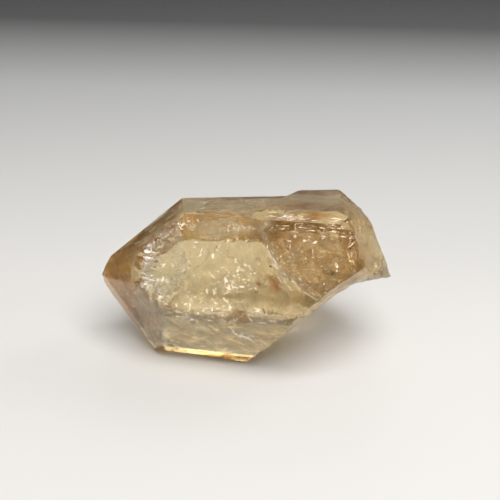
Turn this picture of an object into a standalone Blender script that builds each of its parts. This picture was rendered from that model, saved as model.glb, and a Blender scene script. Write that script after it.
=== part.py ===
# Citrine crystal point: one natural quartz crystal, lying on a prism face, with its tip
# towards -X and its broken base towards +X. Metres, +Z up; the origin is in the middle
# of the footprint of its bounding box, on the surface that it lies on.
#
# The crystal is cut out of a block one face at a time. While it is being cut, the tip is
# near (0, 0, 0) and its long axis runs along +X. All lengths in this file are millimetres
# until the last step, which moves the crystal to its place and scales it to metres.

import math

import bmesh
import bpy
from mathutils import Matrix, Vector, noise

NAME = "citrine_point"
MM = 0.001
BLOCK = 130.0                 # side of the cube that the faces are cut from

# A crystal face is (azimuth, polar angle, distance). Azimuth is in degrees about the long
# axis: 0 faces the front (-Y), 90 up and 180 the back. The polar angle is measured from
# the tip's direction, so a prism face has nearly 90. The distance is from the tip.
TIP_FACES = (
    (84.0, 54.0, 2.1),        # top
    (31.0, 45.5, 0.0),        # upper front
    (-22.0, 53.0, 0.0),       # lower front
    (-35.0, 46.0, -0.4),      # narrow face below the lower front one
    (-91.0, 44.5, 1.9),       # bottom
    (-151.0, 51.0, 1.8),      # lower back
    (150.0, 50.0, 0.3),       # upper back
)
TOP = (94.0, 87.0, 13.0)
UPPER_FRONT = (31.0, 81.5, 7.7)
LOWER_FRONT = (-29.0, 85.0, 8.9)
UPPER_BACK = (150.0, 86.0, 11.4)
LOWER_BACK = (210.0, 86.5, 10.6)
REST_EDGE = (-52.0, 86.5, 10.7)   # narrow face between the lower front one and the floor
REST_DEPTH = 13.0             # the face that it lies on, below the tip

# The rear grew a little thicker than the front, and starts at three ledges. A plane is
# (direction that it faces, distance from the tip).
REAR_STEP = 0.9
REAR_INSET = 0.7              # its other faces stay this far inside the crystal
REAR_EDGE = (64.0, 84.0, 12.9)    # narrow face between its top and upper front ones
REAR_LEDGES = (
    ((-0.85, 0.42, 0.31), -21.3),
    ((-0.62, -0.78, 0.09), -11.8),
    ((-0.44, -0.90, -0.05), -5.4),
)

# Thin layers that grew on one face each: (face, thickness, planes that bound the layer).
LAYERS = (
    (UPPER_BACK, 0.30, (((-0.90, 0.10, 0.42), -14.0), ((0.75, 0.30, -0.58), 20.0))),
    (LOWER_BACK, 0.35, (((-0.75, 0.40, 0.52), -10.5), ((0.50, 0.55, 0.66), 18.5))),
    (TOP, 0.22, (((-0.95, 0.30, 0.05), -17.0), ((0.93, 0.35, 0.10), 26.5))),
)
END_TRIM = ((1.0, 0.0, 0.0), 56.0)

# The broken end: planes that meet in rounded corners, with a rough surface.
END_PLANES = (
    ((0.915, -0.06, 0.40), 47.8),
    ((0.60, 0.15, 0.785), 38.4),
    ((0.80, 0.57, 0.20), 43.9),
)
END_ROUNDING = 0.8
END_ROUGHNESS = 0.35
END_GRAIN = 1.6               # size of its lumps

# The break under the rear: a slope that rises towards +X, then a shelf, and a steeper lip
# along the front of both. Each is (a point on it, rise along X, rise along Y).
SLOPE = ((28.0, -7.0, -11.2), 0.95, -0.33)
SHELF = ((46.0, -12.0, 7.0), 0.12, -0.40)
LIP = ((46.0, -12.2, 8.3), 1.0, -0.95)
BREAK_ROUNDING = 1.8
LIP_ROUNDING = 0.5
RIPPLE_CENTRE = (47.0, -16.0)  # the shell-like ripples spread from here
RIPPLE_WIDTH = 3.4
RIPPLE_HEIGHT = 0.35

# Shallow pits and chipped edges: (middle, radius) of the balls that cut them.
CHIPS = (
    ((17.0, -10.6, -15.0), 3.0),
    ((20.5, -10.6, -14.4), 2.4),
    ((23.8, -12.2, -14.8), 3.6),
    ((7.8, 7.6, 11.4), 3.0),
    ((24.0, 19.0, 1.2), 4.2),
    ((31.0, 17.6, 4.8), 3.2),
    ((36.5, 14.5, 17.2), 4.2),
    ((44.6, -10.0, 17.8), 3.4),
    ((39.5, -9.9, 18.6), 2.8),
)


def face_normal(azimuth, polar):
    a, p = math.radians(azimuth), math.radians(polar)
    return Vector((-math.cos(p), -math.sin(p) * math.cos(a), math.sin(p) * math.sin(a)))


def cut(bm, normal, distance):
    """Take away what lies past a plane, and close the cut."""
    normal = Vector(normal).normalized()
    geometry = bm.verts[:] + bm.edges[:] + bm.faces[:]
    result = bmesh.ops.bisect_plane(
        bm, geom=geometry, dist=1e-5, plane_co=normal * distance, plane_no=normal,
        clear_outer=True)
    rim = [e for e in result["geom_cut"] if isinstance(e, bmesh.types.BMEdge)]
    if rim:
        bmesh.ops.contextual_create(bm, geom=rim)


def new_object(name, bm):
    bmesh.ops.recalc_face_normals(bm, faces=bm.faces)
    mesh = bpy.data.meshes.new(name)
    bm.to_mesh(mesh)
    bm.free()
    piece = bpy.data.objects.new(name, mesh)
    bpy.context.scene.collection.objects.link(piece)
    return piece


def crystal(name, faces, planes):
    bm = bmesh.new()
    bmesh.ops.create_cube(bm, size=BLOCK)
    for azimuth, polar, distance in faces:
        cut(bm, face_normal(azimuth, polar), distance)
    for normal, distance in planes:
        cut(bm, normal, distance)
    return new_object(name, bm)


def front_part():
    prism = (TOP, UPPER_FRONT, LOWER_FRONT, UPPER_BACK, LOWER_BACK, REST_EDGE)
    return crystal(NAME, TIP_FACES + prism, (((0, 0, -1), REST_DEPTH), END_TRIM))


def layer(index, face, thickness, bounds):
    """A thin layer on one face, joined to the crystal through its whole inside."""
    others = TIP_FACES + (TOP, UPPER_FRONT, LOWER_FRONT, UPPER_BACK, LOWER_BACK, REST_EDGE)
    faces = [(a, p, d - REAR_INSET) for a, p, d in others if (a, p, d) != face]
    faces.append((face[0], face[1], face[2] + thickness))
    planes = bounds + (((0, 0, -1), REST_DEPTH - REAR_INSET), END_TRIM)
    return crystal(f"layer_{index}", faces, planes)


def rear_part():
    grown = [(a, p, d + REAR_STEP) for a, p, d in (TOP, UPPER_FRONT, UPPER_BACK)]
    grown.append(REAR_EDGE)
    inner = [(a, p, d - REAR_INSET) for a, p, d in (LOWER_FRONT, LOWER_BACK)]
    planes = REAR_LEDGES + (((0, 0, -1), REST_DEPTH - REAR_INSET), END_TRIM)
    return crystal("rear_part", grown + inner, planes)


def rounded_min(a, b, rounding):
    return 0.5 * (a + b - math.hypot(a - b, rounding))


def rounded_max(a, b, rounding):
    return 0.5 * (a + b + math.hypot(a - b, rounding))


def end_depth(y, z):
    """How far along X the crystal reaches at (y, z)."""
    depth = END_TRIM[1]
    for normal, distance in END_PLANES:
        plane = (distance - normal[1] * y - normal[2] * z) / normal[0]
        depth = rounded_min(depth, plane, END_ROUNDING)
    lumps = noise.noise(Vector((0, y, z)) / END_GRAIN)
    return depth + END_ROUGHNESS * lumps


def slope_height(x, y, slope):
    (x0, y0, z0), rise_x, rise_y = slope
    return z0 + rise_x * (x - x0) + rise_y * (y - y0)


def break_height(x, y):
    """Height of the break's surface at (x, y)."""
    plain = rounded_min(slope_height(x, y, SLOPE), slope_height(x, y, SHELF), BREAK_ROUNDING)
    plain = rounded_max(plain, slope_height(x, y, LIP), LIP_ROUNDING)
    distance = math.dist((x, y), RIPPLE_CENTRE)
    ripple = abs(math.sin(math.pi * distance / RIPPLE_WIDTH))
    return plain + RIPPLE_HEIGHT * ripple


def sheet_cutter(name, size, cells, centre, height, depth, place):
    """A solid that starts at a height field and runs on past it by depth."""
    bm = bmesh.new()
    bmesh.ops.create_grid(bm, x_segments=cells[0], y_segments=cells[1], size=0.5)
    for v in bm.verts:
        u, w = centre[0] + v.co.x * size[0], centre[1] + v.co.y * size[1]
        v.co = (u, w, height(u, w))
    grown = bmesh.ops.extrude_face_region(bm, geom=bm.faces[:])
    for v in grown["geom"]:
        if isinstance(v, bmesh.types.BMVert):
            v.co.z = depth
    bmesh.ops.transform(bm, matrix=place, verts=bm.verts[:])
    return new_object(name, bm)


def chip_cutter(index, middle, radius):
    bm = bmesh.new()
    bmesh.ops.create_icosphere(
        bm, subdivisions=3, radius=radius, matrix=Matrix.Translation(middle))
    return new_object(f"chip_{index}", bm)


def combine(target, tool, operation):
    modifier = target.modifiers.new(tool.name, "BOOLEAN")
    modifier.object = tool
    modifier.operation = operation
    modifier.solver = "EXACT"
    tool.hide_render = True
    tool.display_type = "WIRE"


def remove_old_objects():
    for piece in list(bpy.data.objects):
        bpy.data.objects.remove(piece, do_unlink=True)


def place(pieces, body):
    """Scale the pieces to metres, with the body's footprint around the origin."""
    bpy.context.view_layer.update()
    shape = body.evaluated_get(bpy.context.evaluated_depsgraph_get())
    corners = [Vector(c) for c in shape.bound_box]
    middle = (corners[0] + corners[6]) / 2
    frame = bpy.data.objects.new("frame", None)
    bpy.context.scene.collection.objects.link(frame)
    frame.scale = (MM, MM, MM)
    frame.location = Vector((-middle.x, -middle.y, REST_DEPTH)) * MM
    for piece in pieces:
        piece.parent = frame


def citrine():
    material = bpy.data.materials.new("citrine")
    material.use_nodes = True
    shader = material.node_tree.nodes["Principled BSDF"]
    shader.inputs["Base Color"].default_value = (0.80, 0.60, 0.36, 1.0)
    shader.inputs["Roughness"].default_value = 0.15
    shader.inputs["Metallic"].default_value = 0.0
    shader.inputs["Transmission Weight"].default_value = 1.0
    shader.inputs["IOR"].default_value = 1.544
    return material


def main():
    remove_old_objects()
    body = front_part()
    body.data.materials.append(citrine())
    rear = rear_part()
    y_z_x = Matrix(((0, 0, 1, 0), (1, 0, 0, 0), (0, 1, 0, 0), (0, 0, 0, 1)))
    under = sheet_cutter(
        "under_break", (36.0, 44.0), (36, 40), (40.0, 0.0), break_height, -30.0,
        Matrix.Identity(4))
    end = sheet_cutter(
        "end_break", (40.0, 30.0), (30, 24), (0.0, 6.0), end_depth, 80.0, y_z_x)
    chips = [chip_cutter(i, *chip) for i, chip in enumerate(CHIPS)]
    grown = [rear] + [layer(i, *each) for i, each in enumerate(LAYERS)]
    for tool in grown:
        combine(body, tool, "UNION")
    for cutter in [under, end] + chips:
        combine(body, cutter, "DIFFERENCE")
    place([body, under, end] + grown + chips, body)


main()
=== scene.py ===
import math
import random

import bmesh
import bpy
from mathutils import Matrix, Vector, noise
from mathutils.bvhtree import BVHTree
from mathutils.geometry import intersect_point_line


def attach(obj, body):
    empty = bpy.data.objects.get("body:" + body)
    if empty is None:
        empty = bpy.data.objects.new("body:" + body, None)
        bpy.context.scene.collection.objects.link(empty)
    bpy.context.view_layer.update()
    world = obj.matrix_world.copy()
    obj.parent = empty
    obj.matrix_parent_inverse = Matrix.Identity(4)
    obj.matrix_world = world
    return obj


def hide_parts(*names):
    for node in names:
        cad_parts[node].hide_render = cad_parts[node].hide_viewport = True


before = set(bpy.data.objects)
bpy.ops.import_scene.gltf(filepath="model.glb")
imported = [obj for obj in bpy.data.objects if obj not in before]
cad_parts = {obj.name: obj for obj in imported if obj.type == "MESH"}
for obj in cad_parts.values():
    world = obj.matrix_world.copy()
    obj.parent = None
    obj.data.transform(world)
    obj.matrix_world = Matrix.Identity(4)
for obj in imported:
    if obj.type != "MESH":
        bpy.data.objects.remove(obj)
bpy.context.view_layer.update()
mm = 0.001


def newPiece(name, bm, *materials):
    mesh = bpy.data.meshes.new(name)
    bm.to_mesh(mesh)
    bm.free()
    piece = bpy.data.objects.new(name, mesh)
    bpy.context.scene.collection.objects.link(piece)
    for material in materials:
        mesh.materials.append(material)
    return piece


def join(bm, other):
    # bring another bmesh into this one
    mesh = bpy.data.meshes.new("joined")
    other.to_mesh(mesh)
    other.free()
    bm.from_mesh(mesh)
    bpy.data.meshes.remove(mesh)


def vertsOf(geometry):
    return [g for g in geometry if isinstance(g, bmesh.types.BMVert)]


def softStep(t):
    t = min(1.0, max(0.0, t))
    return t * t * (3 - 2 * t)


def pickLow(pick, limits, power):
    # a random value between two limits, more often near the lower one
    low, high = limits
    return low + (high - low) * pick.random() ** power


def newMaterial(name):
    material = bpy.data.materials.new(name)
    material.use_nodes = True
    tree = material.node_tree
    return material, tree, tree.nodes["Principled BSDF"]


def addNode(tree, kind, values=None):
    # a node with some of its sockets set
    node = tree.nodes.new("ShaderNode" + kind)
    for socket, value in (values or {}).items():
        node.inputs[socket].default_value = value
    return node


def addMath(tree, operation, first, second):
    node = addNode(tree, "Math")
    node.operation = operation
    tree.links.new(first, node.inputs[0])
    tree.links.new(second, node.inputs[1])
    return node


def addRamp(tree, stops):
    # a colour ramp: (place, colour) for each stop
    ramp = addNode(tree, "ValToRGB")
    for i, (at, colour) in enumerate(stops):
        stop = ramp.color_ramp.elements[i] if i < 2 else ramp.color_ramp.elements.new(at)
        stop.position = at
        stop.color = (*colour, 1.0)
    return ramp


def readLayer(tree, name):
    # what was written at each corner of the mesh under this name
    node = addNode(tree, "Attribute")
    node.attribute_name = name
    return node.outputs["Fac"]


def faceNormal(azimuth, polar):
    # azimuth about the long axis, 0 to the front and 90 up; polar from the tip's direction
    a, p = math.radians(azimuth), math.radians(polar)
    return Vector((-math.cos(p), -math.sin(p) * math.cos(a), math.sin(p) * math.sin(a)))


# which way the main faces of the crystal look
faceWays = {
    "upper": faceNormal(31, 81.5),
    "lower": faceNormal(-29, 85),
    "top": faceNormal(94, 87),
    "chamfer": faceNormal(64, 84),
    "lowTip": faceNormal(-22, 53),
    "ledge": Vector((-0.62, -0.78, 0.09)).normalized(),
    "end": Vector((0.915, -0.06, 0.40)).normalized(),
}

# the quartz itself: clear, honey brown in the depth
quartz = {
    "ior": 1.544,
    "absorb": (0.87, 0.67, 0.13, 1.0),
    "density": 47.0,
    "gold": (1.0, 0.84, 0.46, 1.0),      # stain on the broken rim
    "smooth": 0.03,                      # roughness without frost and with full frost
    "frosted": 0.42,
    "patches": 900.0,                    # of finer and coarser frost, per m
    "patchRange": (0.7, 1.2),
    "grain": 0.36 * mm,                  # size and height of the finest relief
    "grainHeight": 0.15 * mm,
}


def quartzMaterial():
    material, tree, shader = newMaterial("citrineQuartz")
    link = tree.links.new
    shader.inputs["IOR"].default_value = quartz["ior"]
    shader.inputs["Transmission Weight"].default_value = 1.0
    place = addNode(tree, "TexCoord").outputs["Object"]
    frost, gold = readLayer(tree, "frost"), readLayer(tree, "gold")

    patches = addNode(tree, "TexNoise", {"Scale": quartz["patches"], "Detail": 4.0})
    least, most = quartz["patchRange"]
    patch = addNode(tree, "MapRange", {"From Min": 0.35, "From Max": 0.65, "To Min": least, "To Max": most})
    link(place, patches.inputs["Vector"])
    link(patches.outputs["Fac"], patch.inputs["Value"])
    rough = addMath(tree, "MULTIPLY", patch.outputs["Result"], frost)
    level = addNode(tree, "MapRange", {"To Min": quartz["smooth"], "To Max": quartz["frosted"]})
    link(rough.outputs["Value"], level.inputs["Value"])
    link(level.outputs["Result"], shader.inputs["Roughness"])

    tint = addNode(tree, "Mix")
    tint.data_type = "RGBA"
    tint.inputs["A"].default_value = (1.0, 1.0, 1.0, 1.0)
    tint.inputs["B"].default_value = quartz["gold"]
    link(gold, tint.inputs["Factor"])
    link(tint.outputs["Result"], shader.inputs["Base Color"])

    # the finest relief shows where the skin is frosted or stained
    fine = addNode(tree, "TexNoise", {"Scale": 1 / quartz["grain"], "Detail": 3.0})
    relief = addNode(tree, "Bump", {"Distance": quartz["grainHeight"]})
    uneven = addMath(tree, "MAXIMUM", frost, gold)
    link(place, fine.inputs["Vector"])
    link(fine.outputs["Fac"], relief.inputs["Height"])
    link(uneven.outputs["Value"], relief.inputs["Strength"])
    link(relief.outputs["Normal"], shader.inputs["Normal"])

    absorb = addNode(tree, "VolumeAbsorption", {"Color": quartz["absorb"], "Density": quartz["density"]})
    link(absorb.outputs["Volume"], tree.nodes["Material Output"].inputs["Volume"])
    return material


# the crystal's skin: growth faces stay flat, the back and the breaks are worn and frosted
skin = {
    "sameFace": 0.6,                     # degrees; triangles that meet at less are one face
    "crease": 26,                        # degrees; edges sharper than this stay sharp
    "blockOut": 19.2,                    # mm; the thicker rear part's front face lies past this
    "flatArea": 9.0,                     # mm2; smaller faces belong to a break
    "clear": 0.25,                       # mm of clear stone between the skin and what is inside
    # kinds of face: (longest edge, depth of the relief and size of its lumps in mm, frost)
    "kinds": {
        "break": (0.33, 0.17, 1.1, 0.16),
        "tip": (1.1, 0.012, 1.5, 0.07),
        "upper": (0.42, 0.035, 1.2, 0.12),
        "lower": (0.42, 0.05, 1.4, 0.12),
        "back": (0.55, 0.16, 2.6, 0.34),
        "rest": (0.55, 0.12, 2.0, 0.75),
        "block": (0.33, 0.05, 0.9, 0.14),
        "ledge": (0.33, 0.07, 0.8, 0.12),
        "top": (0.42, 0.03, 1.6, 0.12),
    },
    "rounds": 8,                         # how often long edges are split, at most
    "slack": 1.5,                        # an edge is split when it is this much too long
    "sliver": 0.005,                     # mm; thinner triangles are taken out
    "fine": 0.17,                        # mm; longest edge at a bruise, and how fast it grows
    "coarsen": 0.05,
    # bruised edges: (corners in mm, how far the marks reach, how many chips, deepest chip)
    "seed": 11,
    "bruises": (
        (((-9.38, -4.32, 27.2), (-16.38, -6.22, 21.8), (-16.48, -9.52, 16.1),
          (-11.38, -12.32, 12.9)), 4.5, 26, 0.36),
        (((-11.38, -12.32, 12.9), (11.0, -15.36, 14.34)), 1.2, 5, 0.10),
        (((-9.38, -4.32, 27.2), (2.6, -5.8, 28.3)), 1.4, 12, 0.16),
    ),
    "overEdge": 0.25,                    # mm; how far a chip runs over to the next face
    "bruiseFrost": 0.4,
    "ripple": 0.1,                       # share of the deepest chip
    "ripplePitch": 11.0,                 # radians for each mm along the edge
    # worn round: the edge between the upper and lower front faces
    "roundEdge": ((-11.5, -12.3, 12.9), (10.8, -15.4, 14.4)),
    "roundRadius": 5.0,
    "roundTaper": 4.0,
    # worn corners: (place, radius), mm
    "corners": (((-25.7, -0.4, 13.4), 1.5), ((25.6, 2.2, 14.8), 2.0)),
    "cornerRounds": 10,
    "haze": (22.6, 3.4, 0.42),           # frost high on the upper face: from Z, over mm, how much
    "stain": (17.5, 4.0),                # gold stain of the broken end: from X, over mm
}
kindNames = list(skin["kinds"])


def faceKind(face):
    # what kind of face it is, by its size and by the way it looks
    normal = face.normal
    if face.calc_area() < skin["flatArea"] * mm * mm:
        return "break"
    if normal.z < -0.98:
        return "rest"
    if normal.dot(faceWays["upper"]) > 0.998:
        out = normal.dot(face.calc_center_median() / mm)
        return "block" if out > skin["blockOut"] else "upper"
    if normal.z > 0.8 and normal.y < -0.3 and normal.x > -0.2:
        return "block"
    if normal.x < -0.4 and normal.y < -0.7 and normal.z > -0.1:
        return "ledge"
    if normal.z > 0.97:
        return "top"
    if normal.dot(faceWays["lower"]) > 0.95:
        return "lower"
    if normal.y > 0.3 and normal.x > -0.5 or normal.x > 0.3:
        return "back"
    return "tip"


def bruiseAt(point, corners):
    # distance from a bruised edge and place along it, mm
    best, run, at = 1e9, 0.0, 0.0
    for start, end in zip(corners, corners[1:]):
        start, end = Vector(start), Vector(end)
        share = min(1.0, max(0.0, intersect_point_line(point, start, end)[1]))
        gap = (point - start.lerp(end, share)).length
        if gap < best:
            best, at = gap, run + share * (end - start).length
        run += (end - start).length
    return best, at


def atCorner(place):
    return any((place / mm - Vector(corner)).length < radius for corner, radius in skin["corners"])


def tooLong(edge, kind):
    size = edge.calc_length() / mm
    if size < skin["fine"] * skin["slack"]:
        return False
    kinds = [kindNames[f[kind]] for f in edge.link_faces]
    limit = min(skin["kinds"][name][0] for name in kinds)
    if atCorner(edge.verts[0].co):
        limit = skin["fine"]
    if size > limit * skin["slack"]:
        return True
    if "upper" in kinds or "lower" in kinds:
        middle = (edge.verts[0].co + edge.verts[1].co) / 2 / mm
        for corners, far, many, deepest in skin["bruises"]:
            gap = bruiseAt(middle, corners)[0]
            if gap < far and size > skin["slack"] * (skin["fine"] + skin["coarsen"] * gap):
                return True
    return False


def cleanTriangles(bm):
    # triangles without slivers, joined by the better one of each two diagonals
    bmesh.ops.triangulate(bm, faces=[f for f in bm.faces if len(f.verts) > 3])
    bmesh.ops.dissolve_degenerate(bm, dist=skin["sliver"] * mm, edges=bm.edges[:])
    bmesh.ops.triangulate(bm, faces=[f for f in bm.faces if len(f.verts) > 3])
    flat = [e for e in bm.edges if len(e.link_faces) == 2 and e.calc_face_angle() < 0.01]
    bmesh.ops.beautify_fill(bm, faces=bm.faces[:], edges=flat)


def refine(bm, kind):
    # split long edges until each face can carry its relief
    cleanTriangles(bm)
    for step in range(skin["rounds"]):
        cut = [e for e in bm.edges if tooLong(e, kind)]
        if not cut:
            break
        bmesh.ops.subdivide_edges(bm, edges=cut, cuts=1)
        cleanTriangles(bm)


def rounded(point):
    # a point of the worn round edge, moved in to a cylinder that touches both faces
    start, end = Vector(skin["roundEdge"][0]), Vector(skin["roundEdge"][1])
    way = (start - end).normalized()
    upper, lower, radius = faceWays["upper"], faceWays["lower"], skin["roundRadius"]
    half = upper.angle(lower) / 2
    gap = point - intersect_point_line(point, start, end)[0]
    if gap.length > radius * math.tan(half):
        return point
    out = (upper + lower).normalized()
    out = (out - way * out.dot(way)).normalized()
    axis = point - gap - out * radius / math.cos(half)
    spoke = point - axis
    if spoke.length < radius:
        return point
    share = softStep((point.x - start.x) / skin["roundTaper"])
    return point.lerp(axis + spoke.normalized() * radius, share)


def edgeChips():
    # chips along each bruised edge: (place, half width, reach, depth), mm
    pick = random.Random(skin["seed"])
    rows = []
    for corners, far, many, deepest in skin["bruises"]:
        whole = sum(math.dist(a, b) for a, b in zip(corners, corners[1:]))
        rows.append([(
            whole * (i + pick.uniform(0.1, 0.9)) / many, pick.uniform(0.35, 1.0),
            far * pick.uniform(0.2, 0.8), deepest * pick.uniform(0.3, 1.0)) for i in range(many)])
    return rows


def bruised(point, kinds, rows, cut, dull):
    # how much deeper and duller a point is for the bruised edges near it
    onFace = sum(k in ("upper", "lower") for k in kinds) / len(kinds)
    for (corners, far, many, deepest), row in zip(skin["bruises"], rows):
        gap, place = bruiseAt(point, corners)
        if gap > far:
            continue
        for at, wide, reach, deep in row:
            reach = reach if onFace > 0.3 else skin["overEdge"]
            bowl = 1 - ((place - at) / wide) ** 2 - (gap / reach) ** 2
            if bowl > 0:
                cut += deep * bowl ** 0.5
        fade = 1 - gap / far
        warp = 0.7 * noise.noise(point / 1.3)
        wave = math.sin((place + warp) * skin["ripplePitch"])
        cut += onFace * skin["ripple"] * deepest * fade * wave
        dull = max(dull, onFace * skin["bruiseFrost"] * fade ** 1.5)
    return cut, dull


def wear(bm, kind):
    # the relief of each kind of face, always cut into the crystal, and how frosted it is
    frost = bm.verts.layers.float.new("frost")
    gold = bm.verts.layers.float.new("gold")
    rows = edgeChips()
    hazeStart, hazeOver, hazeMost = skin["haze"]
    stainStart, stainOver = skin["stain"]
    moved = []
    for vert in bm.verts:
        kinds = [kindNames[f[kind]] for f in vert.link_faces]
        point = vert.co / mm
        depth, size, dull = [sum(skin["kinds"][k][i] for k in kinds) / len(kinds) for i in (1, 2, 3)]
        cut = depth * (0.6 + noise.fractal(point / size, 0.9, 2.1, 4))
        if kinds[0] in ("upper", "lower", "tip", "top"):
            cut, dull = bruised(point, kinds, rows, cut, dull)
        if "upper" in kinds:
            dull = max(dull, hazeMost * softStep((point.z - hazeStart) / hazeOver))
        moved.append((vert, rounded(point) * mm - vert.co - vert.normal * cut * mm))
        vert[frost] = dull
        stain = (point.x - stainStart) / stainOver + 0.8 * noise.noise(point / 3.0)
        vert[gold] = min(1.0, max(0.0, stain))
    for vert, move in moved:
        vert.co += move
        vert.co.z = max(vert.co.z, 0.0)
    near = [v for v in bm.verts if atCorner(v.co)]
    for step in range(skin["cornerRounds"]):
        bmesh.ops.smooth_vert(
            bm, verts=near, factor=0.5, use_axis_x=True, use_axis_y=True, use_axis_z=True)


# how the crystal is looked at from each side: the sight, and what is right and up in it
looks = {
    "front": (Vector((0, 1, 0)), Vector((1, 0, 0)), Vector((0, 0, 1))),
    "top": (Vector((0, 0, -1)), Vector((1, 0, 0)), Vector((0, 1, 0))),
    "end": (Vector((-1, 0, 0)), Vector((0, 1, 0)), Vector((0, 0, 1))),
}
farOff = 50                              # mm; well outside the crystal


def onSkin(shell, look, u, w):
    # the point and the outward direction of the skin at (u, w), looked at from one side, mm
    sight, side, rise = looks[look]
    hit, out, index, gap = shell.ray_cast((side * u + rise * w - sight * farOff) * mm, sight)
    return (hit / mm, out) if hit else (None, None)


def turned(look, degrees):
    # a direction in one look, turned up from the right
    sight, side, rise = looks[look]
    return side * math.cos(math.radians(degrees)) + rise * math.sin(math.radians(degrees))


def keepInside(shell, point):
    # a point, mm, or the nearest one that is deep enough below the skin
    close, out, index, gap = shell.find_nearest(point * mm)
    if (point * mm - close).dot(out) > -skin["clear"] * mm:
        return close / mm - out * skin["clear"]
    return point


def insideShape(x, z, shape):
    # how far inside an outline a point lies, mm, below 0 outside; and the place of the
    # nearest point along the outline
    inside, gap, run, at = False, 1e9, 0.0, 0.0
    for (x0, z0), (x1, z1) in zip(shape, shape[1:] + shape[:1]):
        if (z0 > z) != (z1 > z) and x < x0 + (z - z0) / (z1 - z0) * (x1 - x0):
            inside = not inside
        side = math.hypot(x1 - x0, z1 - z0)
        share = ((x - x0) * (x1 - x0) + (z - z0) * (z1 - z0)) / side ** 2
        share = min(1.0, max(0.0, share))
        away = math.hypot(x - x0 - share * (x1 - x0), z - z0 - share * (z1 - z0))
        if away < gap:
            gap, at = away, run + share * side
        run += side
    return (gap if inside else -gap), at


def spotsIn(shape, many, pick):
    # random places inside an outline, each with its number
    us, ws = [c[0] for c in shape], [c[1] for c in shape]
    made = 0
    while made < many:
        u, w = pick.uniform(min(us), max(us)), pick.uniform(min(ws), max(ws))
        if insideShape(u, w, shape)[0] >= 0:
            made += 1
            yield made, u, w


# cracks: thin curved gaps inside, which mirror the light
cracks = {
    "seed": 5,
    "thick": 0.05,                       # mm
    "sides": 7,
    "ragged": 0.45,                      # how uneven the outline is
    # (how many, X, Z, depths, sizes), mm
    "swarms": (
        (24, (5, 23), (16, 27), (1.0, 5.0), (0.3, 1.5)),
        (20, (6, 23), (16, 27), (3.0, 9.0), (0.8, 2.4)),
        (5, (2, 20), (9, 17), (2.6, 6.0), (0.4, 1.6)),
        (4, (-12, 4), (14, 26), (4.5, 9.0), (0.6, 2.2)),
    ),
}


def plateShape():
    # a thin many-sided plate with a sharp rim, 2 across and 1 thick
    bm = bmesh.new()
    bmesh.ops.create_circle(bm, cap_ends=True, cap_tris=True, segments=cracks["sides"], radius=1.0)
    grown = bmesh.ops.extrude_face_region(bm, geom=bm.faces[:], use_keep_orig=True)
    for v in vertsOf(grown["geom"]):
        v.co.z += 1.0
    bmesh.ops.recalc_face_normals(bm, faces=bm.faces[:])
    for edge in bm.edges:
        edge.smooth = edge.calc_face_angle() < math.radians(skin["crease"])
    mesh = bpy.data.meshes.new("plateShape")
    bm.to_mesh(mesh)
    bm.free()
    return mesh


def addPlate(gaps, shape, place, size, thick, seed):
    # a thin curved gap in the stone: its skin faces inwards
    length, width, bow = size
    plate = bmesh.new()
    plate.from_mesh(shape)
    bmesh.ops.reverse_faces(plate, faces=plate.faces[:])
    place = Matrix.Scale(mm, 4) @ place
    for v in plate.verts:
        angle = math.atan2(v.co.y, v.co.x)
        around = Vector((math.cos(angle) * 1.9, math.sin(angle) * 1.9, seed * 3.7))
        ragged = 1 + cracks["ragged"] * noise.noise(around)
        x, y = v.co.x * ragged * length / 2, v.co.y * ragged * width / 2
        v.co = place @ Vector((x, y, v.co.z * thick + bow * (x * x + y * y) / length))
    join(gaps, plate)


def addCracks(shell, gaps, shape):
    pick = random.Random(cracks["seed"])
    for many, xs, zs, depths, sizes in cracks["swarms"]:
        for i in range(many):
            x, z = pick.uniform(*xs), pick.uniform(*zs)
            depth, length = pickLow(pick, depths, 1.4), pickLow(pick, sizes, 1.8)
            width = length * pick.uniform(0.35, 0.9)
            normal = Vector([pick.gauss(0, 1) for axis in range(3)]).normalized()
            turn, bow = pick.uniform(0, math.pi), pick.uniform(-0.35, 0.35)
            hit, out = onSkin(shell, "front", x, z)
            if hit is None:
                continue
            centre = hit - out * depth
            close, out, index, gap = shell.find_nearest(centre * mm)
            if gap / mm < skin["clear"] + length / 2 or (centre * mm - close).dot(out) > 0:
                continue
            place = Matrix.Translation(centre) @ normal.to_track_quat("Z", "Y").to_matrix().to_4x4()
            place = place @ Matrix.Rotation(turn, 4, "Z")
            addPlate(gaps, shape, place, (length, width, bow), cracks["thick"], i * 1.7 + x)
    print("cracks", len(gaps.faces))


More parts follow.
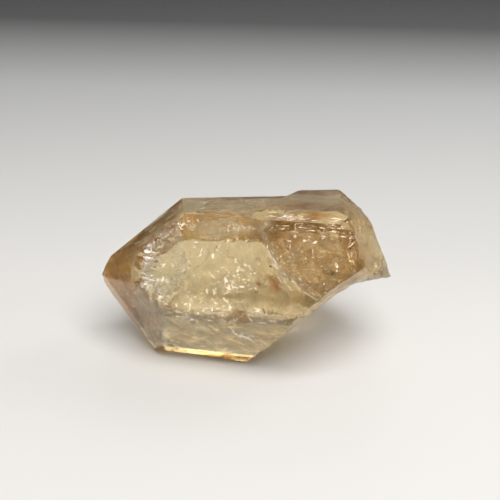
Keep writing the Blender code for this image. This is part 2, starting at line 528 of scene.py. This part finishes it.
# plates that are turned to catch a lamp
glints = {
    "seed": 8,
    "thick": 0.02,                       # mm
    "lump": 1.7,                         # mm over which the plates lean together
    "bow": 0.12,
    "stray": 0.35,                       # mm off the line of a bunch
    # look, outline, how many, lengths, width share, depths, lamp and face its light comes in by,
    # lean together and alone in degrees, direction and spread in degrees
    "swarms": (
        ("front", ((-16.0, 15.0), (-16.2, 21.6), (-12.6, 24.6), (-5.0, 26.0), (2.4, 25.0), (4.0, 20.0),
                   (4.0, 14.0), (-11.0, 12.6)),
         600, (0.12, 1.1), (0.12, 0.4), (0.4, 3.6), ("keyBox", "upper"), (6.0, 4.0), (-20, 60)),
        ("front", ((3.6, 28.0), (4.6, 23.0), (9.0, 19.4), (14.0, 16.6), (20.8, 20.4), (20.6, 27.6)),
         580, (0.12, 0.9), (0.15, 0.5), (0.3, 3.0), ("keyBox", "upper"), (7.0, 5.0), (0, 50)),
        ("front", ((-14.0, 12.0), (-2.0, 13.4), (10.0, 14.0), (6.0, 7.0), (0.0, 4.0), (-12.0, 4.0)),
         420, (0.2, 1.6), (0.15, 0.4), (0.4, 2.6), ("lowBox", "lower"), (4.0, 2.5), (-12, 30)),
        ("top", ((-8.0, -4.0), (1.4, -5.0), (7.0, 6.0), (-8.0, 5.0)),
         110, (0.5, 3.0), (0.05, 0.14), (0.3, 2.0), ("keyBox", "top"), (5.0, 2.5), (52, 12)),
        ("end", ((-8.0, 16.0), (-9.0, 27.0), (6.0, 28.0), (8.0, 18.0)),
         420, (0.15, 0.7), (0.6, 1.0), (0.26, 0.5), ("keyBox", "end"), (4.0, 3.0), (0, 90)),
    ),
    # look, line, how many, lengths, widths, depths, lamp and face, lean together and alone,
    # direction and spread
    "bunches": (
        ("front", (-15.9, 22.0), (-16.2, 16.0), 260, (0.4, 2.8), (0.05, 0.18), (0.2, 1.2),
         ("keyBox", "upper"), (3.5, 2.5), (0, 14)),
        ("front", (-9.6, 26.2), (-15.8, 22.4), 90, (0.3, 1.8), (0.06, 0.22), (0.2, 1.2),
         ("keyBox", "upper"), (4.0, 2.5), (-58, 20)),
        ("front", (-16.0, 16.0), (-11.6, 13.2), 80, (0.3, 1.8), (0.06, 0.22), (0.2, 1.2),
         ("keyBox", "upper"), (4.0, 2.5), (52, 20)),
        ("front", (3.9, 25.4), (8.6, 18.6), 120, (0.5, 2.8), (0.06, 0.22), (0.1, 1.0),
         ("keyBox", "ledge"), (4.0, 2.5), (-56, 12)),
        ("front", (-1.2, 17.0), (0.0, 17.8), 34, (0.3, 1.4), (0.06, 0.22), (0.4, 1.6),
         ("keyBox", "upper"), (4.0, 3.0), (0, 90)),
        ("front", (-0.4, 17.8), (2.3, 22.4), 24, (0.2, 0.9), (0.06, 0.22), (0.4, 1.6),
         ("keyBox", "upper"), (4.0, 3.0), (60, 40)),
        ("front", (-10.4, 12.2), (-5.6, 8.6), 80, (0.6, 3.0), (0.05, 0.16), (0.4, 1.6),
         ("lowBox", "lower"), (3.0, 2.0), (-14, 8)),
        ("front", (-9.4, 26.0), (2.0, 26.2), 90, (0.3, 1.8), (0.05, 0.22), (0.3, 1.8),
         ("keyBox", "upper"), (4.0, 3.0), (-80, 30)),
        ("top", (4.0, -6.4), (17.0, -8.0), 160, (0.5, 3.0), (0.05, 0.16), (0.2, 1.0),
         ("keyBox", "chamfer"), (4.0, 3.0), (-4, 6)),
        ("front", (19.0, 27.0), (19.6, 20.0), 70, (0.2, 1.2), (0.06, 0.24), (0.3, 1.8),
         ("keyBox", "upper"), (5.0, 3.0), (180, 40)),
        ("front", (7.0, 27.2), (17.6, 27.8), 40, (0.6, 3.4), (0.05, 0.18), (0.2, 1.6),
         ("keyBox", "upper"), (5.0, 3.0), (-3, 8)),
        ("front", (-10.0, 12.4), (8.0, 14.6), 190, (0.2, 1.8), (0.06, 0.24), (0.8, 2.4),
         ("keyBox", "upper"), (5.0, 3.0), (-8, 40)),
        ("front", (-10.5, 11.4), (6.0, 12.4), 170, (0.2, 1.8), (0.06, 0.24), (0.3, 1.8),
         ("lowBox", "lower"), (4.0, 2.5), (-8, 40)),
        ("front", (2.6, 13.4), (11.0, 15.4), 120, (0.3, 1.6), (0.06, 0.24), (0.4, 1.8),
         ("lowBox", "lower"), (4.0, 3.0), (12, 40)),
        ("front", (-1.0, 9.4), (3.0, 7.8), 40, (0.4, 1.6), (0.15, 0.5), (0.3, 1.0),
         ("lowBox", "lower"), (2.0, 1.5), (-14, 20)),
        ("front", (-21.0, 12.2), (-14.0, 6.0), 70, (0.6, 3.0), (0.05, 0.16), (0.3, 1.2),
         ("lowBox", "lowTip"), (4.0, 3.0), (-43, 8)),
    ),
}
noiseReach = 2.2                         # brings the noise to about 1 at its highest


def bend(ray, out):
    # how a ray turns as it enters the stone through a face
    cosine, ior = -ray.dot(out), quartz["ior"]
    return ray / ior + out * (cosine / ior - math.sqrt(1 - (1 - cosine * cosine) / ior ** 2))


def leanAt(pick, spot, lean):
    # two angles by which a plate leans, partly as its neighbours do and partly alone
    look, u, w, depth = spot
    together, alone = lean
    near = Vector((u, depth, w)) / glints["lump"]
    return [
        math.radians(
            noiseReach * together * noise.noise(near + Vector((0, 0, n * 31.0)))
            + pick.gauss(0, alone))
        for n in range(2)]


def addGlint(gaps, shell, shape, spot, light, lean, degrees, size, seed):
    # a plate that shows the lamp to the camera, turned aside by the lean
    look, u, w, depth = spot
    lamp, face = light
    around = ((0, 0), (0.4, 0), (-0.4, 0), (0, 0.4), (0, -0.4))      # mm; evens out the relief
    spots = [onSkin(shell, look, u + a, w + b) for a, b in around]
    if any(hit is None for hit, out in spots):
        return
    hit = spots[0][0]
    out = sum((each[1] for each in spots), Vector()).normalized()
    sight = bend((hit * mm - cameraPlace()).normalized(), out)
    beam = bend((hit * mm - lampPlace(lamp)).normalized(), faceWays[face])
    normal = -(sight + beam).normalized()
    along = turned(look, degrees)
    normal = (Matrix.Rotation(lean[0], 3, along) @ normal).normalized()
    normal = (Matrix.Rotation(lean[1], 3, along.cross(normal)) @ normal).normalized()
    along = (along - normal * along.dot(normal)).normalized()
    spin = Matrix((along, normal.cross(along), normal)).transposed().to_4x4()
    place = Matrix.Translation(hit + sight * depth / -sight.dot(out)) @ spin
    length, width, bow = size
    for end in ((length / 2, 0, 0), (-length / 2, 0, 0), (0, width / 2, 0), (0, -width / 2, 0)):
        point = place @ Vector(end)
        if (keepInside(shell, point) - point).length > 0.001:
            return
    addPlate(gaps, shape, place, size, glints["thick"], seed)


def addGlints(shell, gaps, shape):
    pick = random.Random(glints["seed"])
    bow = glints["bow"]
    for look, outline, many, sizes, shares, depths, light, lean, way in glints["swarms"]:
        for made, u, w in spotsIn(outline, many, pick):
            length = pickLow(pick, sizes, 2.2)
            width = length * pick.uniform(*shares)
            spot = (look, u, w, pickLow(pick, depths, 1.3))
            leans, degrees = leanAt(pick, spot, lean), pick.gauss(*way)
            size = (length, width, pick.uniform(-bow, bow))
            addGlint(gaps, shell, shape, spot, light, leans, degrees, size, made * 0.7 + u)
    for look, start, end, many, sizes, widths, depths, light, lean, way in glints["bunches"]:
        start, end = Vector(start), Vector(end)
        for i in range(many):
            off = (end - start).orthogonal().normalized() * pick.gauss(0, glints["stray"])
            u, w = start.lerp(end, pick.random()) + off
            length, degrees = pickLow(pick, sizes, 1.8), pick.gauss(*way)
            u += math.cos(math.radians(degrees)) * length / 2
            w += math.sin(math.radians(degrees)) * length / 2
            spot = (look, u, w, pick.uniform(*depths))
            leans = leanAt(pick, spot, lean)
            size = (length, pick.uniform(*widths), pick.uniform(-bow, bow))
            addGlint(gaps, shell, shape, spot, light, leans, degrees, size, i * 0.7 + u)
    print("glints", len(gaps.faces))


def crystalPiece():
    bm = bmesh.new()
    bm.from_mesh(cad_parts["citrine_point"].data)
    bmesh.ops.remove_doubles(bm, verts=bm.verts[:], dist=1e-6)
    bmesh.ops.dissolve_limit(
        bm, angle_limit=math.radians(skin["sameFace"]), verts=bm.verts[:], edges=bm.edges[:])
    kind = bm.faces.layers.int.new("kind")
    for face in bm.faces:
        face[kind] = kindNames.index(faceKind(face))
    refine(bm, kind)
    bm.normal_update()
    wear(bm, kind)
    bm.normal_update()
    for edge in bm.edges:
        if len(edge.link_faces) == 2 and edge.calc_face_angle() > math.radians(skin["crease"]):
            edge.smooth = False
    print("skin", len(bm.faces))
    shell = BVHTree.FromBMesh(bm)
    gaps, shape = bmesh.new(), plateShape()
    addCracks(shell, gaps, shape)
    addGlints(shell, gaps, shape)
    join(bm, gaps)
    for face in bm.faces:
        face.smooth = True
    piece = newPiece("citrineCrystal", bm, quartzMaterial())
    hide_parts("citrine_point")
    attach(piece, "root")
    return shell


# healed breaks and clouds of fine bubbles: thin, part see-through sheets inside the stone; two marks are
# painted highlights, and one sheet and two marks are painted shade
veils = {
    "seed": 31,
    "step": 0.34,                        # mm between corners of a sheet
    "cells": 9,                          # across a small sheet
    "thick": 0.05,                       # mm
    "ragged": 0.4,                       # how uneven the outline of a small sheet is
    "stretch": (0.5, 2.2),               # of the threads, along and across the grain
    "clearness": 0.35,
    "stainAndShadeClearness": 0.85,
    "stainAndShadeFrom": 0.7,                    # marks of a deeper tone than this take the stain material: real stains, and the painted shade at the tip's back edge
    "leastDepth": 0.3,                   # mm
    # which way the depth is measured; from the front it follows the camera's slanting sight
    "inward": {"front": (0, 0.93, -0.37), "top": (0, 0, -1), "end": (-1, 0, 0)},
    "tones": (
        (0.0, (1.0, 0.97, 0.86)), (0.3, (1.0, 0.88, 0.62)), (0.6, (0.92, 0.69, 0.42)),
        (0.8, (0.60, 0.37, 0.16)), (1.0, (0.50, 0.17, 0.07))),
    # broad sheets that follow the skin; grain: degrees, or rays that stand on the outline;
    # depth: base, swell; fade: over how many mm the edge and, if given, the middle thins out
    "sheets": (
        {"look": "front", "depth": (0.9, 0.5), "cover": 0.47, "tone": 0.02, "fade": (0.15, 3.8),
         "grit": 1.0, "grain": "rays", "shape": (
             (-16.2, 16.3), (-16.3, 21.6), (-13.2, 24.2), (-10.4, 25.9), (-9.0, 22.0),
             (-8.0, 18.0), (-11.4, 13.8))},
        {"look": "front", "depth": (2.0, 1.1), "cover": 0.12, "tone": 0.12, "fade": (1.6, 0),
         "grit": 0.35, "grain": -20.0, "shape": (
             (-16.2, 15.6), (-16.4, 21.4), (-13.0, 24.4), (-5.4, 26.4), (2.6, 25.4),
             (4.4, 22.0), (6.0, 16.0), (12.6, 16.6), (14.6, 16.4), (9.0, 8.6), (4.6, 4.6),
             (-6.0, 3.4), (-13.4, 3.6))},
        {"look": "front", "depth": (1.8, 0.7), "cover": 0.27, "tone": 0.60, "fade": (1.0, 0),
         "grit": 0.3, "grain": -52.0, "shape": (
             (1.4, 27.2), (2.6, 26.6), (8.4, 19.6), (13.4, 16.6), (10.6, 14.6), (4.6, 15.2),
             (2.6, 18.6), (2.6, 23.6))},
        {"look": "front", "depth": (2.6, 1.2), "cover": 0.56, "tone": 0.66, "fade": (1.6, 0),
         "grit": 0.4, "grain": 5.0, "shape": (
             (4.0, 27.3), (4.4, 24.4), (7.8, 19.8), (13.4, 17.0), (17.6, 18.6), (20.6, 20.0),
             (20.6, 24.4), (18.4, 27.4), (8.0, 27.5))},
        {"look": "front", "depth": (1.2, 0.5), "cover": 0.45, "tone": 0.62, "fade": (1.6, 0),
         "grit": 0.5, "grain": 10.0, "stain": 1, "shape": (
             (4.0, 27.3), (4.4, 24.4), (7.8, 19.8), (13.4, 17.0), (17.6, 18.6), (20.6, 20.0),
             (20.6, 24.4), (18.4, 27.4), (8.0, 27.5))},
        {"look": "end", "depth": (0.5, 0.1), "cover": 0.30, "tone": 0.50, "fade": (0.5, 0),
         "grit": 1.0, "grain": "even", "stain": 1, "shape": (
             (-15.0, 16.0), (-13.0, 26.0), (-8.0, 30.0), (6.0, 29.0), (14.0, 22.0), (15.0, 8.0),
             (6.0, 4.0), (-4.0, 6.0))},
        {"look": "front", "depth": (1.6, 0.8), "cover": 0.26, "tone": 0.58, "fade": (1.6, 0),
         "grit": 0.8, "grain": -14.0, "stain": 1, "shape": (
             (-12.0, 12.8), (-3.0, 14.8), (5.0, 16.0), (12.6, 17.0), (15.2, 16.8), (9.0, 8.6),
             (4.6, 4.6), (-6.0, 3.4), (-13.4, 3.6))},
        {"look": "front", "depth": (1.2, 0.4), "cover": 0.34, "tone": 0.70, "fade": (0.5, 0),
         "grit": 0.0, "grain": -43.0, "shape": (
             (-25.6, 13.2), (-23.7, 17.3), (-16.5, 22.0), (-16.3, 16.1), (-11.6, 12.9),
             (-13.2, 3.2), (-15.2, 1.8), (-22.0, 9.0))},
        # painted shade: a brown sheet that darkens the upper tip face, standing in for its dark reflections
        {"look": "top", "depth": (1.0, 0.3), "cover": 0.55, "tone": 0.76, "fade": (0.6, 0),
         "grit": 0.0, "grain": 30.0, "shape": (
             (-23.6, -0.6), (-16.4, -6.0), (-9.6, -4.2), (-11.9, 5.4))},
        {"look": "top", "depth": (1.6, 0.8), "cover": 0.08, "tone": 0.50, "fade": (1.2, 0),
         "grit": 0.3, "grain": 50.0, "shape": (
             (-9.8, -4.4), (-12.0, 5.4), (-2.0, 8.6), (4.8, 8.6), (16.0, 8.0), (19.4, -6.0),
             (17.0, -9.0), (3.0, -7.0), (1.8, -5.8))},
    ),
    # swarms of small sheets: look, outline, how many, sizes, depths, lean off the skin, direction and
    # spread in degrees, cover and tone
    "swarms": (
        ("front", ((4.0, 28.0), (4.6, 23.0), (9.0, 19.4), (14.0, 16.6), (20.6, 20.4), (20.4, 27.6)),
         60, (2.0, 6.0), (0.5, 4.5), 0.35, (4, 28), (0.06, 0.34), (0.3, 0.8)),
        ("front", ((-16.0, 14.0), (-15.6, 22.0), (-10.0, 26.0), (2.0, 25.0), (3.0, 16.0), (-2.0, 12.0)),
         24, (1.5, 5.0), (0.6, 4.0), 0.35, (-20, 50), (0.06, 0.22), (0.1, 0.40)),
        ("front", ((-14.0, 12.0), (-2.0, 13.4), (10.0, 14.0), (6.0, 7.0), (0.0, 3.0), (-12.0, 3.4)),
         16, (1.5, 5.0), (0.6, 4.0), 0.35, (-12, 30), (0.06, 0.28), (0.1, 0.60)),
        ("top", ((-8.0, -4.0), (1.4, -5.0), (7.0, 6.0), (-8.0, 5.0)),
         18, (2.0, 6.0), (0.5, 2.6), 0.30, (52, 12), (0.08, 0.26), (0.4, 0.8)),
    ),
    # single marks: look, middle, length and width, direction, depth, cover, tone, softness of the edge
    "marks": (
        ("top", (11.8, -2.8), (13.5, 5.6), -2, 0.7, 0.90, 0.80, 0.6),    # brown bands of the rear part
        ("top", (12.0, 6.0), (11.0, 3.4), 0, 0.5, 0.95, 0.84, 0.4),
        ("top", (10.4, -6.6), (15.0, 3.0), -5, 0.5, 0.90, 0.78, 0.6),
        ("top", (0.0, 7.0), (21.0, 2.0), 1, 0.4, 0.80, 0.80, 0.5),
        ("front", (11.0, 27.0), (7.0, 0.5), 1, 0.5, 0.55, 0.82, 0.6),
        ("front", (18.6, 25.6), (2.2, 3.4), 60, 0.8, 0.45, 0.80, 0.8),
        ("front", (-3.5, 25.6), (16.0, 4.0), 0, 0.6, 0.80, 0.30, 0.6),   # pale band along the upper edge
        ("front", (4.4, 27.0), (3.4, 2.4), 60, 0.5, 0.50, 0.40, 0.8),    # pale bulge above the notch
        ("front", (6.6, 18.8), (4.6, 3.2), -40, 1.0, 0.75, 0.88, 0.8),   # rusty stain
        ("front", (5.3, 18.6), (1.3, 1.8), 70, 0.5, 0.80, 0.36, 0.2),
        ("front", (4.1, 18.3), (0.8, 1.2), 80, 0.6, 0.60, 0.92, 0.7),
        ("front", (3.8, 17.2), (1.1, 0.7), 10, 0.6, 0.55, 0.90, 0.7),
        ("front", (0.9, 12.0), (4.4, 3.4), 6, 1.2, 0.70, 0.74, 0.3),     # brown window
        ("front", (1.3, 8.6), (2.5, 1.0), -18, 0.4, 0.95, 0.0, 0.35),    # painted highlight: a bright patch below it, where the lower face shows glare
        ("front", (-12.6, 15.4), (1.4, 0.9), -30, 0.4, 0.95, 0.0, 0.4),  # bruised corners; this white mark is a painted highlight on the chipped edge, the next three are brown
        ("front", (-11.9, 24.8), (1.8, 0.8), 35, 0.4, 0.65, 0.80, 0.4),
        ("front", (-14.0, 22.9), (1.6, 0.7), 40, 0.4, 0.60, 0.80, 0.4),
        ("front", (-7.6, 26.4), (1.9, 0.7), -10, 0.4, 0.60, 0.80, 0.4),
        ("front", (-8.8, 6.0), (4.2, 1.6), -12, 0.8, 0.50, 0.76, 0.7),
        ("front", (-10.6, 12.6), (4.4, 1.0), -8, 0.7, 0.45, 0.74, 0.6),
        ("top", (-17.8, -0.6), (10.0, 2.4), 26, 0.8, 0.80, 0.86, 0.7),   # painted shade: the dark back edge of the tip, darkened for its dark reflections at the silhouette
        ("top", (-13.0, 3.6), (6.0, 2.0), 28, 0.8, 0.80, 0.86, 0.7),
        ("front", (-3.0, 1.0), (25.0, 3.0), 0, 0.35, 1.0, 0.76, 0.4),
        ("front", (-17.5, 8.5), (11.0, 6.0), -43, 0.5, 0.70, 0.74, 0.8),
    ),
}


def veilMaterial(name, clearness, roughness, ior):
    material, tree, shader = newMaterial(name)
    link = tree.links.new
    shader.inputs["Roughness"].default_value = roughness
    shader.inputs["IOR"].default_value = ior
    shader.inputs["Transmission Weight"].default_value = clearness
    grain = addNode(tree, "UVMap")
    grain.uv_map = "grain"
    along, across = veils["stretch"]
    stretch = addNode(tree, "Mapping", {"Scale": (along, across, 1.0)})
    puffs = addNode(tree, "TexNoise", {"Scale": 0.55, "Detail": 3.0})          # soft clouds
    wisps = addNode(                                                           # fine threads
        tree, "TexNoise", {"Scale": 1.5, "Detail": 5.0, "Roughness": 0.62, "Distortion": 0.5})
    blend = addNode(tree, "Mix")
    cover = addNode(tree, "MapRange", {"From Min": 0.38, "From Max": 0.62, "To Min": 0.15, "To Max": 1.2})
    link(grain.outputs["UV"], stretch.inputs["Vector"])
    link(stretch.outputs["Vector"], wisps.inputs["Vector"])
    link(grain.outputs["UV"], puffs.inputs["Vector"])
    link(readLayer(tree, "grit"), blend.inputs["Factor"])
    link(puffs.outputs["Fac"], blend.inputs["A"])
    link(wisps.outputs["Fac"], blend.inputs["B"])
    link(blend.outputs["Result"], cover.inputs["Value"])
    alpha = addMath(tree, "MULTIPLY", cover.outputs["Result"], readLayer(tree, "cover"))
    alpha.use_clamp = True
    link(alpha.outputs["Value"], shader.inputs["Alpha"])

    colours = addRamp(tree, veils["tones"])
    link(readLayer(tree, "tone"), colours.inputs["Fac"])
    link(colours.outputs["Color"], shader.inputs["Base Color"])
    return material


def newVeil():
    bm = bmesh.new()
    cover = bm.verts.layers.float.new("cover")
    tone = bm.verts.layers.float.new("tone")
    grit = bm.verts.layers.float.new("grit")
    grain = bm.loops.layers.uv.new("grain")
    return bm, cover, tone, grit, grain


def finishVeil(bm, veil, grain, spots, stain):
    # lay out the grain, give the sheet its thickness and add it to the rest
    for face in veil.faces:
        for loop in face.loops:
            loop[grain].uv = spots[loop.vert]
    veil.normal_update()
    grown = bmesh.ops.extrude_face_region(veil, geom=veil.faces[:], use_keep_orig=True)
    for v in vertsOf(grown["geom"]):
        v.co -= v.normal * veils["thick"] * mm
    bmesh.ops.recalc_face_normals(veil, faces=veil.faces[:])
    for face in veil.faces:
        face.smooth = True
        face.material_index = stain
    join(bm, veil)


def grainAt(way, x, z, gap, run):
    # where a corner of a broad sheet lies in the pattern of clouds and threads
    if way == "rays":
        return gap, run
    if way == "even":
        along, across = veils["stretch"]
        return x * (across / along), z
    turn = math.radians(way)
    return x * math.cos(turn) + z * math.sin(turn), z * math.cos(turn) - x * math.sin(turn)


def addSheet(bm, shell, sheet, seed):
    xs, zs = [c[0] for c in sheet["shape"]], [c[1] for c in sheet["shape"]]
    wide, tall = max(xs) - min(xs), max(zs) - min(zs)
    base, swell = sheet["depth"]
    rim, middle = sheet["fade"]
    inward = Vector(veils["inward"][sheet["look"]])
    veil, cover, tone, grit, grain = newVeil()
    bmesh.ops.create_grid(
        veil, x_segments=round(wide / veils["step"]), y_segments=round(tall / veils["step"]), size=0.5)
    lost, spots = [], {}
    for v in veil.verts:
        x = (min(xs) + max(xs)) / 2 + v.co.x * wide
        z = (min(zs) + max(zs)) / 2 + v.co.y * tall
        hit, out = onSkin(shell, sheet["look"], x, z)
        ragged = 0.5 * noise.noise(Vector((x, seed, z)) / 1.1)
        gap, run = insideShape(x + ragged, z + ragged, sheet["shape"])
        if hit is None or gap < 0:
            lost.append(v)
            continue
        depth = base + swell * noise.fractal(Vector((x, 3.0 + seed, z)) / 4.0, 0.8, 2.2, 4)
        v.co = keepInside(shell, hit + inward * max(veils["leastDepth"], depth)) * mm
        v[cover] = sheet["cover"] * softStep(gap / rim)
        if middle:
            v[cover] *= 1 - softStep(gap / middle)
        v[tone] = sheet["tone"] + 0.25 * noise.noise(Vector((x, seed, z)) / 2.5)
        v[grit] = sheet["grit"]
        spots[v] = grainAt(sheet["grain"], x, z, gap, run)
    bmesh.ops.delete(veil, geom=lost, context="VERTS")
    finishVeil(bm, veil, grain, spots, sheet.get("stain", 0))


def addVeil(bm, shell, place, size, finish, seed, stain=0):
    # a small oval sheet with a ragged, soft edge
    (length, width, bow), (most, shade, soft) = size, finish
    veil, cover, tone, grit, grain = newVeil()
    bmesh.ops.create_grid(veil, x_segments=veils["cells"], y_segments=veils["cells"] - 2, size=1.0)
    spots = {}
    for v in veil.verts:
        u, w = v.co.x, v.co.y
        angle = math.atan2(w, u)
        around = Vector((math.cos(angle) * 1.5, math.sin(angle) * 1.5, seed))
        ragged = 1 + veils["ragged"] * noise.noise(around)
        v[cover] = most * softStep((1 - math.hypot(u, w) / ragged) / soft)
        v[tone] = shade + 0.2 * noise.noise(Vector((u, w, seed)))
        v[grit] = 0.6
        x, y = u * length / 2, w * width / 2
        spots[v] = (x + seed * 7.3, y + seed * 3.1)
        wave = 0.15 * length * noise.noise(Vector((u, w, seed + 9.0)))
        v.co = keepInside(shell, place @ Vector((x, y, bow * (x * x + y * y) / length + wave))) * mm
    bare = [v for v in veil.verts if all(o[cover] <= 0 for e in v.link_edges for o in e.verts)]
    bmesh.ops.delete(veil, geom=bare, context="VERTS")
    finishVeil(bm, veil, grain, spots, stain)


def layOn(shell, look, u, w, degrees, depth):
    # a place below the skin, flat to it, with its long side turned the given way as it is looked at
    hit, out = onSkin(shell, look, u, w)
    if hit is None:
        return None
    along = turned(look, degrees)
    along = (along - out * along.dot(out)).normalized()
    spin = Matrix((along, out.cross(along), out)).transposed().to_4x4()
    return Matrix.Translation(hit - out * depth) @ spin


def veilPiece(shell):
    bm = newVeil()[0]
    pick = random.Random(veils["seed"])
    for n, sheet in enumerate(veils["sheets"]):
        addSheet(bm, shell, sheet, n * 3.7)
    print("broad sheets", len(bm.faces))
    for look, shape, many, sizes, depths, lean, way, covers, tones in veils["swarms"]:
        for made, u, w in spotsIn(shape, many, pick):
            length, depth = pickLow(pick, sizes, 1.5), pickLow(pick, depths, 1.3)
            place = layOn(shell, look, u, w, pick.gauss(*way), depth)
            tip, roll = pick.gauss(0, lean), pick.gauss(0, lean)
            size = (length, length * pick.uniform(0.25, 0.75), pick.uniform(-0.3, 0.3))
            finish = (pick.uniform(*covers), pick.uniform(*tones), 0.9)
            if place:
                place = place @ Matrix.Rotation(tip, 4, "X") @ Matrix.Rotation(roll, 4, "Y")
                addVeil(bm, shell, place, size, finish, made * 1.3 + u)
    for look, (u, w), (length, width), degrees, depth, most, shade, soft in veils["marks"]:
        place = layOn(shell, look, u, w, degrees, depth)
        if place:
            stain = int(shade > veils["stainAndShadeFrom"])
            addVeil(bm, shell, place, (length, width, 0.0), (most, shade, soft), u + w, stain)
    print("veils", len(bm.faces))
    # the veil material also holds the painted highlights and painted shade; the stain material holds real
    # stains and the painted shade of the tip's back edge
    piece = newPiece(
        "veilsAndPaintedLight", bm, veilMaterial("paleVeilAndPaintedLight", veils["clearness"], 0.5, 1.4),
        veilMaterial("brownStainAndShade", veils["stainAndShadeClearness"], 0.2, 1.1))
    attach(piece, "root")


studio = {
    "target": (1.17 * mm, -0.56 * mm, 19.61 * mm),
    "azimuth": 8.0,
    "elevation": 22.0,
    "distance": 180 * mm,
    "lens": 74.9,
    "bounces": 24,                       # light crosses many faces inside clear stone
    # the paper runs back along the floor and curves up into a wall, m
    "floorDrop": 0.04 * mm,              # the crystal rests on a few high points
    "halfWidth": 1.2,
    "front": -0.8,
    "back": 0.45,
    "curve": 0.15,
    "wallTop": 0.5,
    # painted light and shade: the paper is palest at the front, darker further back and darkest in the
    # curve, as if less light fell there, and pale again up the wall: (Y + Z in m, colour)
    "paper": (
        (-0.30, (0.90, 0.88, 0.84)), (0.03, (0.83, 0.81, 0.78)), (0.20, (0.58, 0.58, 0.57)),
        (0.34, (0.125, 0.125, 0.125)), (0.60, (0.06, 0.06, 0.06)), (0.80, (0.60, 0.60, 0.59)),
        (1.10, (0.85, 0.85, 0.84))),
    "lamps": (                           # name, place, what it points at, size, power
        ("keyBox", (0.20, -0.40, 0.64), (0, 0, 0), (0.54, 0.46), 6.3),
        ("topBox", (-0.05, 0.0, 0.85), (0, 0, 0), (0.9, 0.8), 0.4),
        ("backBox", (0.0, 0.46, 0.54), (0, 0, 0.01), (0.30, 0.20), 0.2),
        ("backPanel", (0.0, 0.59, 0.26), (0, 0.0, 0.10), (0.9, 0.26), 0.25),
        ("lowBox", (-0.51, -0.64, 0.21), (0, 0, 0.01), (0.22, 0.19), 0.65),
        ("rimBox", (0.40, 0.22, 0.36), (0, 0, 0.01), (0.22, 0.20), 0.45),
    ),
    "room": 0.06,
    "roomColour": (1.0, 0.98, 0.95, 1.0),
}


def cameraPlace():
    a, e = math.radians(studio["azimuth"]), math.radians(studio["elevation"])
    out = Vector((math.sin(a) * math.cos(e), -math.cos(a) * math.cos(e), math.sin(e)))
    return Vector(studio["target"]) + out * studio["distance"]


def lampPlace(name):
    return next(Vector(lamp[1]) for lamp in studio["lamps"] if lamp[0] == name)


def setUp(name, data, place, aim):
    # put a lamp or the camera in its place, turned to what it points at
    piece = bpy.data.objects.new(name, data)
    bpy.context.scene.collection.objects.link(piece)
    piece.location = place
    piece.rotation_euler = (Vector(aim) - Vector(place)).to_track_quat("-Z", "Y").to_euler()
    return piece


def camera():
    data = bpy.data.cameras.new("studioCamera")
    data.lens = studio["lens"]
    data.clip_start = 0.01
    bpy.context.scene.camera = setUp("studioCamera", data, cameraPlace(), studio["target"])


def lights():
    for name, place, aim, size, power in studio["lamps"]:
        data = bpy.data.lights.new(name, "AREA")
        data.shape = "RECTANGLE"
        data.size, data.size_y = size
        data.energy = power
        setUp(name, data, place, aim)
    world = bpy.data.worlds.new("studioRoom")
    world.use_nodes = True
    background = world.node_tree.nodes["Background"]
    background.inputs["Color"].default_value = studio["roomColour"]
    background.inputs["Strength"].default_value = studio["room"]
    bpy.context.scene.world = world


def paperMaterial():
    material, tree, shader = newMaterial("paperSweep")
    link = tree.links.new
    shader.inputs["Roughness"].default_value = 0.8
    # the painted light and shade of the paper, along Y + Z
    low, high = studio["paper"][0][0], studio["paper"][-1][0]
    place, split = addNode(tree, "TexCoord"), addNode(tree, "SeparateXYZ")
    run = addMath(tree, "ADD", split.outputs["Y"], split.outputs["Z"])
    scale = addNode(tree, "MapRange", {"From Min": low, "From Max": high})
    ramp = addRamp(tree, [((at - low) / (high - low), colour) for at, colour in studio["paper"]])
    link(place.outputs["Object"], split.inputs["Vector"])
    link(run.outputs["Value"], scale.inputs["Value"])
    link(scale.outputs["Result"], ramp.inputs["Fac"])
    link(ramp.outputs["Color"], shader.inputs["Base Color"])
    return material


def sweep():
    # the floor that curves up into a wall behind the crystal
    half, front, back, radius = studio["halfWidth"], studio["front"], studio["back"], studio["curve"]
    bm = bmesh.new()
    low = -studio["floorDrop"]
    edge = bm.edges.new([bm.verts.new((x, front, low)) for x in (-half, half)])

    def pull(edge, way):
        rim = vertsOf(bmesh.ops.extrude_edge_only(bm, edges=[edge])["geom"])
        bmesh.ops.translate(bm, verts=rim, vec=way)
        return bm.edges.get(rim)

    edge = pull(edge, (0, back - front, 0))
    turn = bmesh.ops.spin(
        bm, geom=[edge, *edge.verts], cent=(0, back, low + radius), axis=(1, 0, 0),
        angle=math.radians(90), steps=16)
    pull(bm.edges.get(vertsOf(turn["geom_last"])), (0, 0, studio["wallTop"] - radius))
    bmesh.ops.recalc_face_normals(bm, faces=bm.faces[:])
    for face in bm.faces:
        face.smooth = True
    newPiece("paperSweep", bm, paperMaterial())


skinShape = crystalPiece()
print("crystal done")
veilPiece(skinShape)
sweep()
lights()
camera()
scene = bpy.context.scene
scene.view_settings.view_transform = "Standard"
scene.cycles.max_bounces = studio["bounces"]
scene.cycles.glossy_bounces = studio["bounces"]
scene.cycles.transmission_bounces = studio["bounces"]
scene.cycles.transparent_max_bounces = studio["bounces"]
print("studio done")
